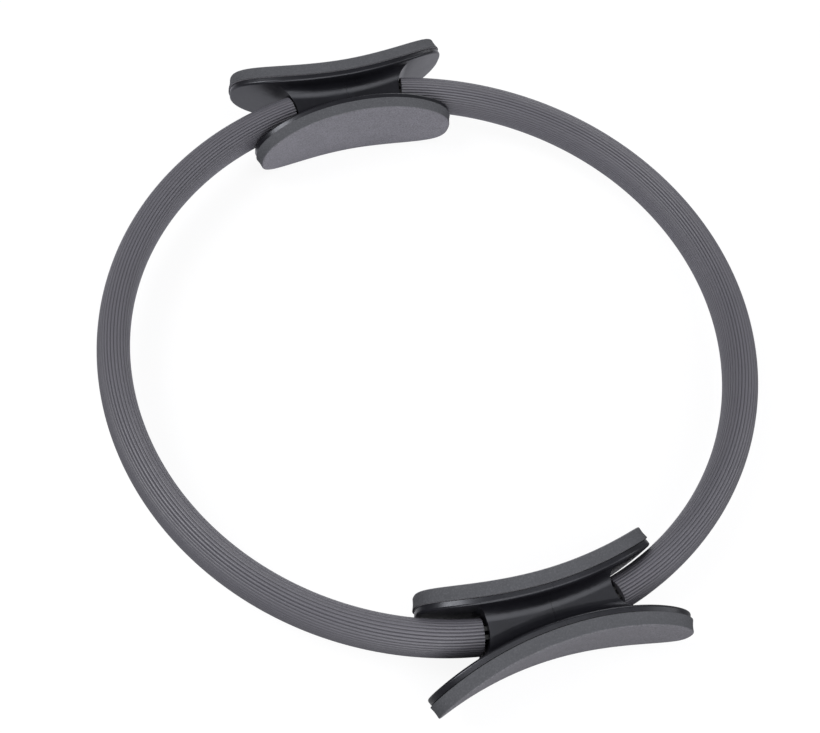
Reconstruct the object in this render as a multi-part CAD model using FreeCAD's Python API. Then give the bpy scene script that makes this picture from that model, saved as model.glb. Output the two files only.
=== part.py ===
"""Pilates ring: two foam-faced grips joined by two ribbed sleeves over fibreglass spring leaves.

Sizes are in millimetres. The origin is the centre of the ring, +Z is the axis of the ring and +Y points to
the upper grip. Angles along the ring are measured from the upper grip towards +X.
"""
import FreeCAD
import Part
import math
import os
from FreeCAD import Vector

# Ring and ribbed sleeve
RING_OUTER_DIAMETER = 380.0
TUBE_THICKNESS = 18.0
TUBE_WIDTH = 29.0
TUBE_FULLNESS = 2.3
RIB_COUNT = 40
RIB_DEPTH = 0.5

# Roll of each grip about the ring's centreline, positive when its outer pad leans towards +Z
UPPER_ROLL_DEGREES = 15.5
LOWER_ROLL_DEGREES = -4.0

# Spring leaves and the plate that joins them across each grip
LEAF_THICKNESS = 2.2
LEAF_WIDTH = 20.0
LEAF_SPACING = 2.0
LEAF_END_SETBACK = 2.0
PLATE_END_SETBACK = 3.0

# Grip housing
GLUE_FACE_HEIGHT = 10.8
BEND_RADIUS = 192.0
FLANGE_THICKNESS = 3.4
FLANGE_INSET = 1.0
FLANGE_RIM_ROUNDING = 1.3
RIM_LAND = 0.15
WAIST_WALL = 3.2
WAIST_FLAT_WIDTH = 1.2
NOTCH_BOTTOM = 34.0
NOTCH_RADIUS = 22.0
OUTER_NOTCH_CORNER = 11.0
INNER_NOTCH_CORNER = 4.0

# Foam pads
OUTER_PAD_LENGTH = 146.0
INNER_PAD_LENGTH = 133.0
PAD_WIDTH = 56.0
PAD_THICKNESS = 7.3
PAD_FULLNESS = 2.6

# Countersunk leaf screws
SCREW_DIAMETER = 3.5
SCREW_HEAD_DIAMETER = 7.0
SCREW_HEAD_HEIGHT = 1.8
SCREW_TIP_COVER = 3.5
SCREW_END_MARGIN = 8.5

# Clearances
RUNNING_CLEARANCE = 0.3
SEAM_GAP = 0.12
GLUE_FILM = 0.3
MOUTH_GAP = 1.0
SLEEVE_TO_FLANGE_CLEARANCE = 0.7

# How finely the curves are followed
RING_SECTION_COUNT = 25
GRIP_SECTION_COUNT = 7
OVAL_SAMPLE_COUNT = 720
OUTLINE_POINT_COUNT = 48
RIM_TOLERANCE = 0.03

# Values worked out from the sizes above
RING_RADIUS = (RING_OUTER_DIAMETER - TUBE_THICKNESS) / 2
NOTCH_SAG = NOTCH_RADIUS - math.sqrt(NOTCH_RADIUS ** 2 - TUBE_THICKNESS ** 2 / 4)
SLEEVE_END = NOTCH_BOTTOM + NOTCH_SAG + MOUTH_GAP
MOUTH_ANGLE = math.asin(SLEEVE_END / RING_RADIUS)
LEAF_OFFSET = (LEAF_SPACING + LEAF_THICKNESS) / 2
PLATE_THICKNESS = LEAF_SPACING - 2 * RUNNING_CLEARANCE
PLATE_HALF_LENGTH = NOTCH_BOTTOM - PLATE_END_SETBACK
STACK_THICKNESS = 2 * LEAF_THICKNESS + LEAF_SPACING
WAIST_HALF_WIDTH = LEAF_WIDTH / 2 + RUNNING_CLEARANCE + WAIST_WALL
BEND_CENTRE = GLUE_FACE_HEIGHT + BEND_RADIUS
UNDERSIDE_RADIUS = BEND_RADIUS + FLANGE_THICKNESS
UNDERSIDE_HEIGHT = BEND_CENTRE - UNDERSIDE_RADIUS
WAIST_GROOVE_RADIUS = UNDERSIDE_HEIGHT - WAIST_FLAT_WIDTH / 2
REACH = OUTER_PAD_LENGTH
SCREW_TIP_DEPTH = GLUE_FACE_HEIGHT - SCREW_TIP_COVER
SCREW_POSITIONS = (LEAF_END_SETBACK + SCREW_END_MARGIN, NOTCH_BOTTOM - SCREW_END_MARGIN)


def grip_inset():
    """Distance of the grip inside the ring's centreline, so that the inner flange's tips clear the sleeve."""
    tip_angle = (INNER_PAD_LENGTH / 2 - FLANGE_INSET) / BEND_RADIUS
    tip_along = UNDERSIDE_RADIUS * math.sin(tip_angle)
    tip_height = UNDERSIDE_RADIUS * math.cos(tip_angle) - BEND_CENTRE
    clear_radius = RING_RADIUS - TUBE_THICKNESS / 2 - SLEEVE_TO_FLANGE_CLEARANCE
    return tip_height + RING_RADIUS - math.sqrt(clear_radius ** 2 - tip_along ** 2)


GRIP_INSET = grip_inset()


def notch_height():
    """Height in the grip of the notch's centre, on the straight line that the sleeve takes from its end."""
    rise = math.sqrt(RING_RADIUS ** 2 - NOTCH_BOTTOM ** 2)
    return rise - RING_RADIUS + GRIP_INSET - NOTCH_RADIUS * NOTCH_BOTTOM / rise


NOTCH_HEIGHT = notch_height()


def roll_at(angle):
    """Roll of the ring's section, steady inside each grip and turning smoothly between them."""
    folded = abs(math.remainder(angle, 2 * math.pi))
    share = (folded - MOUTH_ANGLE) / (math.pi - 2 * MOUTH_ANGLE)
    share = min(max(share, 0.0), 1.0)
    turned = (1 - math.cos(math.pi * share)) / 2
    degrees = UPPER_ROLL_DEGREES + (LOWER_ROLL_DEGREES - UPPER_ROLL_DEGREES) * turned
    return math.radians(degrees)


def section_axes(angle):
    """Centre of the ring's section, its outward direction and its width direction."""
    outward = Vector(math.sin(angle), math.cos(angle), 0)
    upward = Vector(0, 0, 1)
    roll = roll_at(angle)
    rolled_outward = outward * math.cos(roll) + upward * math.sin(roll)
    rolled_upward = upward * math.cos(roll) - outward * math.sin(roll)
    return outward * RING_RADIUS, rolled_outward, rolled_upward


def section_point(angle, outward_offset, upward_offset):
    """Point of the ring's section at an angle along the ring."""
    centre, outward, upward = section_axes(angle)
    return centre + outward * outward_offset + upward * upward_offset


def spread(start, end, count):
    """Evenly spaced values from start to end."""
    return [start + (end - start) * step / (count - 1) for step in range(count)]


def angle_at(distance):
    """Angle along the ring whose centreline lies a distance from the grip's mid-plane."""
    return math.asin(distance / RING_RADIUS)


def strip(start, end, offset, thickness, width, count):
    """Flat strip that follows the ring and its roll from one angle to another."""
    sections = []
    for angle in spread(start, end, count):
        low = offset - thickness / 2
        high = offset + thickness / 2
        corners = [
            section_point(angle, low, -width / 2),
            section_point(angle, high, -width / 2),
            section_point(angle, high, width / 2),
            section_point(angle, low, width / 2),
        ]
        sections.append(Part.makePolygon(corners + corners[:1]))
    return Part.makeLoft(sections, True, False)


def rounded_power(value, exponent):
    """Power of a value that keeps its sign."""
    return math.copysign(abs(value) ** exponent, value)


def oval_points(half_thickness, half_width, fullness, count):
    """Points at equal distances round a full oval, as outward and upward offsets."""
    samples = []
    for step in range(OVAL_SAMPLE_COUNT + 1):
        turn = 2 * math.pi * step / OVAL_SAMPLE_COUNT
        outward = half_thickness * rounded_power(math.cos(turn), 2 / fullness)
        upward = half_width * rounded_power(math.sin(turn), 2 / fullness)
        samples.append((outward, upward))
    lengths = [0.0]
    for before, after in zip(samples, samples[1:]):
        lengths.append(lengths[-1] + math.dist(before, after))
    points = []
    index = 0
    for step in range(count):
        target = lengths[-1] * step / count
        while lengths[index + 1] <= target:
            index += 1
        share = (target - lengths[index]) / (lengths[index + 1] - lengths[index])
        before = samples[index]
        after = samples[index + 1]
        outward = before[0] + (after[0] - before[0]) * share
        upward = before[1] + (after[1] - before[1]) * share
        points.append((outward, upward))
    return points


def ribbed_section(angle, crests, valleys):
    """Closed scalloped outline of the sleeve at an angle along the ring."""
    edges = []
    for index in range(RIB_COUNT):
        first = section_point(angle, *valleys[index])
        last = section_point(angle, *valleys[(index + 1) % RIB_COUNT])
        crest = section_point(angle, *crests[index])
        pull = crest * 2 - (first + last) * 0.5
        curve = Part.BezierCurve()
        curve.setPoles([first, pull, last])
        edges.append(curve.toShape())
    return Part.Wire(edges)


def make_sleeve():
    """Right sleeve: a scalloped extrusion with one slot for each spring leaf."""
    halves = 2 * RIB_COUNT
    outer = oval_points(TUBE_THICKNESS / 2, TUBE_WIDTH / 2, TUBE_FULLNESS, halves)
    inner = oval_points(
        TUBE_THICKNESS / 2 - RIB_DEPTH, TUBE_WIDTH / 2 - RIB_DEPTH, TUBE_FULLNESS, halves)
    valleys = inner[0::2]
    crests = outer[1::2]
    sections = []
    for angle in spread(MOUTH_ANGLE, math.pi - MOUTH_ANGLE, RING_SECTION_COUNT):
        sections.append(ribbed_section(angle, crests, valleys))
    body = Part.makeLoft(sections, True, False)
    overrun = MOUTH_ANGLE / 4
    for offset in (LEAF_OFFSET, -LEAF_OFFSET):
        slot = strip(
            MOUTH_ANGLE - overrun, math.pi - MOUTH_ANGLE + overrun, offset,
            LEAF_THICKNESS + 2 * RUNNING_CLEARANCE, LEAF_WIDTH + 2 * RUNNING_CLEARANCE, RING_SECTION_COUNT)
        body = body.cut(slot)
    return body


def grip_placement(angle):
    """Placement of a grip: x along the ring, y outwards and z across, from the grip's own centre."""
    _, outward, upward = section_axes(angle)
    along = outward.cross(upward)
    centre = section_point(angle, -GRIP_INSET, 0)
    matrix = FreeCAD.Matrix(
        along.x, outward.x, upward.x, centre.x,
        along.y, outward.y, upward.y, centre.y,
        along.z, outward.z, upward.z, centre.z,
        0, 0, 0, 1)
    return FreeCAD.Placement(matrix)


def placed(shape, placement):
    """Copy of a shape moved from a grip's own axes to the ring."""
    moved = shape.copy()
    moved.Placement = placement
    return moved


def bend_cylinder(radius):
    """Upright cylinder about the axis that the outer pad and flange are bent round."""
    return Part.makeCylinder(radius, 2 * REACH, Vector(0, BEND_CENTRE, -REACH), Vector(0, 0, 1))


def outline(length, width, level):
    """Oval outline of a bent plate, carried along its radial side walls to a flat level."""
    points = []
    for step in range(OUTLINE_POINT_COUNT):
        turn = 2 * math.pi * step / OUTLINE_POINT_COUNT
        along = length / 2 * rounded_power(math.cos(turn), 2 / PAD_FULLNESS)
        across = width / 2 * rounded_power(math.sin(turn), 2 / PAD_FULLNESS)
        run = (BEND_CENTRE - level) * math.tan(along / BEND_RADIUS)
        points.append(Vector(run, level, across))
    curve = Part.BSplineCurve()
    curve.interpolate(Points=points, PeriodicFlag=True)
    return Part.Wire(curve.toShape())


def bent_column(length, width, low, high):
    """Column whose side walls stand square to the bent pad all the way round."""
    return Part.makeLoft([outline(length, width, low), outline(length, width, high)], True, True)


def make_pad(length):
    """Outer foam pad in the grip's own axes, clear of the flange by the film of glue."""
    column = bent_column(length, PAD_WIDTH, 0, BEND_CENTRE / 3)
    glued_face = bend_cylinder(BEND_RADIUS - GLUE_FILM)
    palm_face = bend_cylinder(BEND_RADIUS - GLUE_FILM - PAD_THICKNESS)
    return single(column.common(glued_face).cut(palm_face))


def underside_at(distance):
    """Height of the outer flange's underside at a distance along the grip."""
    return BEND_CENTRE - math.sqrt(UNDERSIDE_RADIUS ** 2 - distance ** 2)


def arc_edge(first, middle, last):
    """Circular edge in the plane of the ring through three points."""
    return Part.Arc(Vector(*first, 0), Vector(*middle, 0), Vector(*last, 0)).toShape()


def line_edge(first, last):
    """Straight edge in the plane of the ring."""
    return Part.makeLine(Vector(*first, 0), Vector(*last, 0))


def raised(edges, low, high):
    """Solid over a closed outline, from one height to another."""
    face = Part.Face(Part.Wire(edges))
    face.translate(Vector(0, 0, low))
    return face.extrude(Vector(0, 0, high - low))


def make_waist_groove():
    """Tool for the rounded groove along the front of the waist, between the two flanges."""
    far = underside_at(REACH)
    edges = [
        arc_edge((-REACH, far), (0, UNDERSIDE_HEIGHT), (REACH, far)),
        line_edge((REACH, far), (REACH, -far)),
        arc_edge((REACH, -far), (0, -UNDERSIDE_HEIGHT), (-REACH, -far)),
        line_edge((-REACH, -far), (-REACH, far)),
    ]
    tool = raised(edges, WAIST_HALF_WIDTH, PAD_WIDTH)
    bottoms = []
    for edge in tool.Edges:
        box = edge.BoundBox
        flat = abs(box.ZMax - WAIST_HALF_WIDTH) < FLANGE_INSET
        curved = edge.Curve.TypeId == "Part::GeomCircle"
        if flat and curved:
            bottoms.append(edge)
    return tool.makeFillet(WAIST_GROOVE_RADIUS, bottoms)


def notch_corner(radius, height):
    """Ends and middle of the arc that joins the notch's bottom to the outer flange's underside."""
    from_bottom = Vector(NOTCH_BOTTOM + NOTCH_RADIUS, height, 0)
    from_bend = Vector(0, BEND_CENTRE, 0)
    inner_reach = NOTCH_RADIUS - radius
    outer_reach = UNDERSIDE_RADIUS + radius
    span = (from_bend - from_bottom).Length
    direction = (from_bend - from_bottom) * (1 / span)
    aside_direction = Vector(-direction.y, direction.x, 0)
    along = (inner_reach ** 2 - outer_reach ** 2 + span ** 2) / (2 * span)
    aside = math.sqrt(inner_reach ** 2 - along ** 2)
    centre = from_bottom + direction * along + aside_direction * aside
    bottom_end = from_bottom + (centre - from_bottom) * (NOTCH_RADIUS / inner_reach)
    side_end = from_bend + (centre - from_bend) * (UNDERSIDE_RADIUS / outer_reach)
    outwards = (bottom_end + side_end) * 0.5 - centre
    middle = centre + outwards * (radius / outwards.Length)
    return (bottom_end.x, bottom_end.y), (middle.x, middle.y), (side_end.x, side_end.y)


def flipped(point):
    """Point on the inner side that matches one on the outer side."""
    return point[0], -point[1]


def make_end_notch():
    """Tool for the rounded notch at the right end of the waist, where the sleeve nestles."""
    far = (REACH, underside_at(REACH))
    outer_start, outer_middle, outer_end = notch_corner(OUTER_NOTCH_CORNER, NOTCH_HEIGHT)
    inner_corner = notch_corner(INNER_NOTCH_CORNER, -NOTCH_HEIGHT)
    inner_start, inner_middle, inner_end = [flipped(point) for point in inner_corner]
    outer_between = (outer_end[0] + REACH) / 2
    inner_between = (inner_end[0] + REACH) / 2
    edges = [
        arc_edge(inner_start, (NOTCH_BOTTOM, NOTCH_HEIGHT), outer_start),
        arc_edge(outer_start, outer_middle, outer_end),
        arc_edge(outer_end, (outer_between, underside_at(outer_between)), far),
        line_edge(far, flipped(far)),
        arc_edge(flipped(far), (inner_between, -underside_at(inner_between)), inner_end),
        arc_edge(inner_end, inner_middle, inner_start),
    ]
    return raised(edges, -PAD_WIDTH, PAD_WIDTH)


def on_rim(point):
    """Whether a point lies on the rim of a flange, on the side that faces the sleeve."""
    tolerance = RIM_TOLERANCE
    length = OUTER_PAD_LENGTH if point.y > 0 else INNER_PAD_LENGTH
    rise = BEND_CENTRE - abs(point.y)
    away = math.hypot(point.x, rise)
    along = BEND_RADIUS * math.atan2(abs(point.x), rise) / (length / 2 - FLANGE_INSET)
    across = abs(point.z) / (PAD_WIDTH / 2 - FLANGE_INSET)
    fullness = along ** PAD_FULLNESS + across ** PAD_FULLNESS
    return abs(away - UNDERSIDE_RADIUS) < tolerance and abs(fullness - 1) < tolerance


def rim_edges(shape):
    """Edges round the rims of both flanges, on the side that faces the sleeve."""
    found = []
    for edge in shape.Edges:
        first, last = edge.FirstParameter, edge.LastParameter
        if all(on_rim(edge.valueAt(place)) for place in (first, (first + last) / 2, last)):
            found.append(edge)
    return found


def rim_rounding(edges):
    """Rounding of the flanges' rims, limited by the land outside the corner of the groove and the notch."""
    rim = Part.Compound(edges)
    groove_side = WAIST_HALF_WIDTH + WAIST_GROOVE_RADIUS
    outer_x, outer_y = notch_corner(OUTER_NOTCH_CORNER, NOTCH_HEIGHT)[2]
    inner_x, inner_y = flipped(notch_corner(INNER_NOTCH_CORNER, -NOTCH_HEIGHT)[2])
    outer_land = Part.Vertex(outer_x, outer_y, groove_side).distToShape(rim)[0]
    inner_land = Part.Vertex(inner_x, inner_y, groove_side).distToShape(rim)[0]
    return min(FLANGE_RIM_ROUNDING, outer_land - RIM_LAND, inner_land - RIM_LAND)


def make_flange_block(pad_length):
    """Half of the spool's blank, from the grip's middle surface out to the outer glue face."""
    column = bent_column(pad_length - 2 * FLANGE_INSET, PAD_WIDTH - 2 * FLANGE_INSET, 0, BEND_CENTRE / 3)
    return column.cut(bend_cylinder(BEND_RADIUS))


def make_spool():
    """Whole moulded spool of a grip in its own axes, before the leaves' passage is cut."""
    outer_half = make_flange_block(OUTER_PAD_LENGTH)
    inner_half = make_flange_block(INNER_PAD_LENGTH).mirror(Vector(0, 0, 0), Vector(0, 1, 0))
    groove = make_waist_groove()
    notch = make_end_notch()
    spool = outer_half.fuse(inner_half)
    spool = spool.cut(groove)
    spool = spool.cut(groove.mirror(Vector(0, 0, 0), Vector(0, 0, 1)))
    spool = spool.cut(notch)
    spool = spool.cut(notch.mirror(Vector(0, 0, 0), Vector(1, 0, 0)))
    rim = rim_edges(spool)
    return spool.makeFillet(rim_rounding(rim), rim)


def glue_face_at(distance):
    """Height of the outer glue face at a distance along the grip."""
    return BEND_CENTRE - math.sqrt(BEND_RADIUS ** 2 - distance ** 2)


def screw_shape(position, ease):
    """Countersunk screw in the grip's own axes, grown all round by an ease."""
    inwards = Vector(0, -1, 0)
    top = glue_face_at(position) - RUNNING_CLEARANCE
    shank_radius = SCREW_DIAMETER / 2 + ease
    head_radius = SCREW_HEAD_DIAMETER / 2 + ease
    shank = Part.makeCylinder(shank_radius, top + SCREW_TIP_DEPTH + ease, Vector(position, top, 0), inwards)
    head = Part.makeCone(head_radius, shank_radius, SCREW_HEAD_HEIGHT, Vector(position, top, 0), inwards)
    return head.fuse(shank)


def screw_set(placement, ease):
    """All four leaf screws of a grip on the ring."""
    screws = []
    for distance in SCREW_POSITIONS:
        for position in (distance, -distance):
            screws.append(placed(screw_shape(position, ease), placement))
    return screws


def screw_recesses(placement):
    """Tools for the open tops of the screw seats, from the glue face outwards."""
    tools = []
    for distance in SCREW_POSITIONS:
        for position in (distance, -distance):
            start = Vector(position, glue_face_at(position) - RUNNING_CLEARANCE, 0)
            radius = SCREW_HEAD_DIAMETER / 2 + RUNNING_CLEARANCE
            tool = Part.makeCylinder(radius, FLANGE_THICKNESS, start, Vector(0, 1, 0))
            tools.append(placed(tool, placement))
    return tools


def right_of_seam(shape):
    """Part of a shape on the +X side of the seam."""
    span = 2 * RING_OUTER_DIAMETER
    box = Part.makeBox(span, 2 * span, span, Vector(SEAM_GAP / 2, -span, -span / 2))
    return shape.common(box)


def mirrored(shape):
    """Shape on the other side of the ring's plane of symmetry."""
    return shape.mirror(Vector(0, 0, 0), Vector(1, 0, 0))


def single(shape):
    """The one solid in a shape."""
    if len(shape.Solids) != 1:
        raise ValueError("expected one solid, found %d" % len(shape.Solids))
    return shape.Solids[0]


def export(name, shape):
    """Write one named piece."""
    if not shape.isValid():
        raise ValueError("%s is not a valid shape" % name)
    shape.exportStep("parts/%s.step" % name)
    box = shape.BoundBox
    print("%-22s solids %d volume %9.1f size %6.1f %6.1f %6.1f" % (
        name, len(shape.Solids), shape.Volume, box.XLength, box.YLength, box.ZLength))


def build_grip(name, angle, spool, outer_pad, inner_pad):
    """Make and write the pieces of one grip."""
    placement = grip_placement(angle)
    reach = angle_at(SLEEVE_END)
    passage = strip(
        angle - reach, angle + reach, 0, STACK_THICKNESS + 2 * RUNNING_CLEARANCE,
        LEAF_WIDTH + 2 * RUNNING_CLEARANCE, GRIP_SECTION_COUNT)
    seats = screw_set(placement, RUNNING_CLEARANCE) + screw_recesses(placement)
    housing = placed(spool, placement).cut(passage)
    for seat in seats:
        housing = housing.cut(seat)
    right = single(right_of_seam(housing))
    export(name + "_right_housing", right)
    export(name + "_left_housing", single(mirrored(right)))
    export(name + "_outer_pad", placed(outer_pad, placement))
    export(name + "_inner_pad", placed(inner_pad, placement))
    plate_reach = angle_at(PLATE_HALF_LENGTH)
    plate = strip(
        angle - plate_reach, angle + plate_reach, 0, PLATE_THICKNESS, LEAF_WIDTH, GRIP_SECTION_COUNT)
    for hole in screw_set(placement, RUNNING_CLEARANCE):
        plate = plate.cut(hole)
    export(name + "_splice_plate", single(plate))
    export(name + "_leaf_screws", Part.makeCompound(screw_set(placement, 0)))


def build_leaves():
    """Make and write the four spring leaves."""
    start = angle_at(LEAF_END_SETBACK)
    holes = screw_set(grip_placement(0), RUNNING_CLEARANCE)
    holes += screw_set(grip_placement(math.pi), RUNNING_CLEARANCE)
    for name, offset in (("outer", LEAF_OFFSET), ("inner", -LEAF_OFFSET)):
        leaf = strip(start, math.pi - start, offset, LEAF_THICKNESS, LEAF_WIDTH, RING_SECTION_COUNT)
        for hole in holes:
            leaf = leaf.cut(hole)
        leaf = single(leaf)
        export("right_%s_leaf" % name, leaf)
        export("left_%s_leaf" % name, mirrored(leaf))


def main():
    """Build every piece of the ring."""
    os.makedirs("parts", exist_ok=True)
    sleeve = single(make_sleeve())
    export("right_sleeve", sleeve)
    export("left_sleeve", mirrored(sleeve))
    build_leaves()
    spool = make_spool()
    outer_pad = make_pad(OUTER_PAD_LENGTH)
    inner_pad = make_pad(INNER_PAD_LENGTH).mirror(Vector(0, 0, 0), Vector(0, 1, 0))
    build_grip("upper", 0, spool, outer_pad, inner_pad)
    build_grip("lower", math.pi, spool, outer_pad, inner_pad)


main()
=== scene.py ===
"""Looks of a flexible exercise ring: ribbed sleeves, moulded grips and foam palm pads."""

import logging
import math
from dataclasses import dataclass, field
from enum import Enum
from typing import Any, Iterator, Sequence, Union

import bmesh
import bpy
from mathutils import Matrix, Vector


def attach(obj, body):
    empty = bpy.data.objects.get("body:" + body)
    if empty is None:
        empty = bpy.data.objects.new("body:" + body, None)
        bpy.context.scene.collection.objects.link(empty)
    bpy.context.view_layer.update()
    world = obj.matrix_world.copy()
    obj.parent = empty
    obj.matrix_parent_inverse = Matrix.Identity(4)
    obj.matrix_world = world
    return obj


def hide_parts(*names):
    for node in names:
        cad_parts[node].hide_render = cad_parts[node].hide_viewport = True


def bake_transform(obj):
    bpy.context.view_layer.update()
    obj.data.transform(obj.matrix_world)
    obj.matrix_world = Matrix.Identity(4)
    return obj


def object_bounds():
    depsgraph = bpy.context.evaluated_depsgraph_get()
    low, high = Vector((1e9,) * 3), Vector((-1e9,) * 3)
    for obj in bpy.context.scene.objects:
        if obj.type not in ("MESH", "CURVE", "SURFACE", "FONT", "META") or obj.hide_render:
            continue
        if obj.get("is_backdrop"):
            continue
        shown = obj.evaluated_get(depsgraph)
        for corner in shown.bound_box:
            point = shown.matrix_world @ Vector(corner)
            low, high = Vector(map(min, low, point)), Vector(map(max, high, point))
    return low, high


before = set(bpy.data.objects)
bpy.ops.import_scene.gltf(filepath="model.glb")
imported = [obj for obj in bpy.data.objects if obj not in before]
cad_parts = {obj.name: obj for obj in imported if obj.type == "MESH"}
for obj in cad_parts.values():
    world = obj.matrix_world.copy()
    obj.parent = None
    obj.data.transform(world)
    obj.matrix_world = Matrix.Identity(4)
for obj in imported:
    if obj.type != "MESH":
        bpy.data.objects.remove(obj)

LOG = logging.getLogger("exercise_ring")
LOWER_BODY = "lower_grip"
UPPER_BODY = "upper_grip"
MILLIMETRE = 0.001

Number = Union[int, float]
SocketKey = Union[int, str]
Colour = tuple[float, float, float]
Place = tuple[float, float, float]

WHITE: Colour = (1.0, 1.0, 1.0)
BLACK: Colour = (0.0, 0.0, 0.0)
CENTRE: Place = (0.0, 0.0, 0.0)
RING_AXIS: Place = (0.0, 0.0, 1.0)
RING_PLANE: Place = (1.0, 1.0, 0.0)


class GripEnd(Enum):
    """The two grips of the ring."""

    UPPER = "upper"
    LOWER = "lower"

    @property
    def body(self) -> str:
        """CAD body that carries this grip."""
        return UPPER_BODY if self is GripEnd.UPPER else LOWER_BODY

    @property
    def direction(self) -> Vector:
        """Direction from the ring's centre to this grip."""
        return Vector((0.0, 1.0 if self is GripEnd.UPPER else -1.0, 0.0))


class RingSide(Enum):
    """The two halves of the sleeved ring."""

    LEFT = "left"
    RIGHT = "right"

    @property
    def sign(self) -> int:
        """Direction of this half along x."""
        return -1 if self is RingSide.LEFT else 1


class PadPlace(Enum):
    """Where a foam pad lies on its grip."""

    OUTER = "outer"
    INNER = "inner"

    @property
    def sign(self) -> int:
        """Direction of the pad's palm face along the grip's outward axis."""
        return 1 if self is PadPlace.OUTER else -1


class LeafPlace(Enum):
    """The two spring leaves inside one half of the ring."""

    OUTER = "outer"
    INNER = "inner"


class SurfaceMark(Enum):
    """Numbers that a mesh carries for its finish to read."""

    RIB_HEIGHT = "rib_height"
    ALONG = "along"
    AROUND = "around"
    CUT_SIDE = "cut_side"


def linear(red: Number, green: Number, blue: Number) -> Colour:
    """Turn a colour of 0 to 255 as a screen shows it into the light that it stands for.

    Args:
        red: Screen value of red.
        green: Screen value of green.
        blue: Screen value of blue.

    Returns:
        The colour in linear light.
    """
    full, toe, slope, lift, gamma = 255, 0.04045, 12.92, 0.055, 2.4
    shares = [value / full for value in (red, green, blue)]
    light = [s / slope if s <= toe else ((s + lift) / (1 + lift)) ** gamma for s in shares]
    return light[0], light[1], light[2]


def signed_power(base: float, power: float) -> float:
    """A power that keeps the sign of its base."""
    return math.copysign(abs(base) ** power, base)


@dataclass(frozen=True)
class Spread:
    """Two points of a straight clamped ramp, each a value and what it becomes."""

    low: tuple[float, float]
    high: tuple[float, float]


@dataclass(frozen=True)
class Grain:
    """A noise pattern: the size of one grain, its finer octaves and how fast they fade."""

    size: float
    detail: float = 2.0
    falloff: float = 0.55


UNIT_GRAIN = Grain(1.0)


class Value:
    """An output socket that can be used in arithmetic."""

    def __init__(self, bench: "NodeBench", node: bpy.types.Node, output: SocketKey = 0) -> None:
        """Hold one output of a node.

        Args:
            bench: Where further nodes go.
            node: The node.
            output: Which of its outputs, if it has any.
        """
        self.bench = bench
        self.node = node
        self.socket = node.outputs[output] if len(node.outputs) else None

    def out(self, output: SocketKey) -> "Value":
        """Another output of the same node."""
        return Value(self.bench, self.node, output)

    def _math(self, operation: str, *terms: Any) -> "Value":
        """Add a Math node over some terms."""
        return self.bench.node("ShaderNodeMath", {"operation": operation}, dict(enumerate(terms)))

    def __add__(self, other: Any) -> "Value":
        """Sum."""
        return self._math("ADD", self, other)

    def __radd__(self, other: Any) -> "Value":
        """Sum with the number first."""
        return self._math("ADD", other, self)

    def __sub__(self, other: Any) -> "Value":
        """Difference."""
        return self._math("SUBTRACT", self, other)

    def __rsub__(self, other: Any) -> "Value":
        """Difference with the number first."""
        return self._math("SUBTRACT", other, self)

    def __mul__(self, other: Any) -> "Value":
        """Product."""
        return self._math("MULTIPLY", self, other)

    def __rmul__(self, other: Any) -> "Value":
        """Product with the number first."""
        return self._math("MULTIPLY", other, self)

    def __truediv__(self, other: Any) -> "Value":
        """Quotient."""
        return self._math("DIVIDE", self, other)

    def __rtruediv__(self, other: Any) -> "Value":
        """Quotient with the number first."""
        return self._math("DIVIDE", other, self)

    def __pow__(self, other: Any) -> "Value":
        """Power."""
        return self._math("POWER", self, other)

    def __neg__(self) -> "Value":
        """Opposite."""
        return self._math("MULTIPLY", self, -1.0)

    def __abs__(self) -> "Value":
        """Size without its sign."""
        return self._math("ABSOLUTE", self)

    def sin(self) -> "Value":
        """Sine."""
        return self._math("SINE", self)

    def cos(self) -> "Value":
        """Cosine."""
        return self._math("COSINE", self)

    def sign(self) -> "Value":
        """One or minus one, by the sign."""
        return self._math("SIGN", self)

    def fraction(self) -> "Value":
        """What is left over the whole number."""
        return self._math("FRACT", self)

    def largest(self, other: Any) -> "Value":
        """The larger of two values."""
        return self._math("MAXIMUM", self, other)


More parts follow.
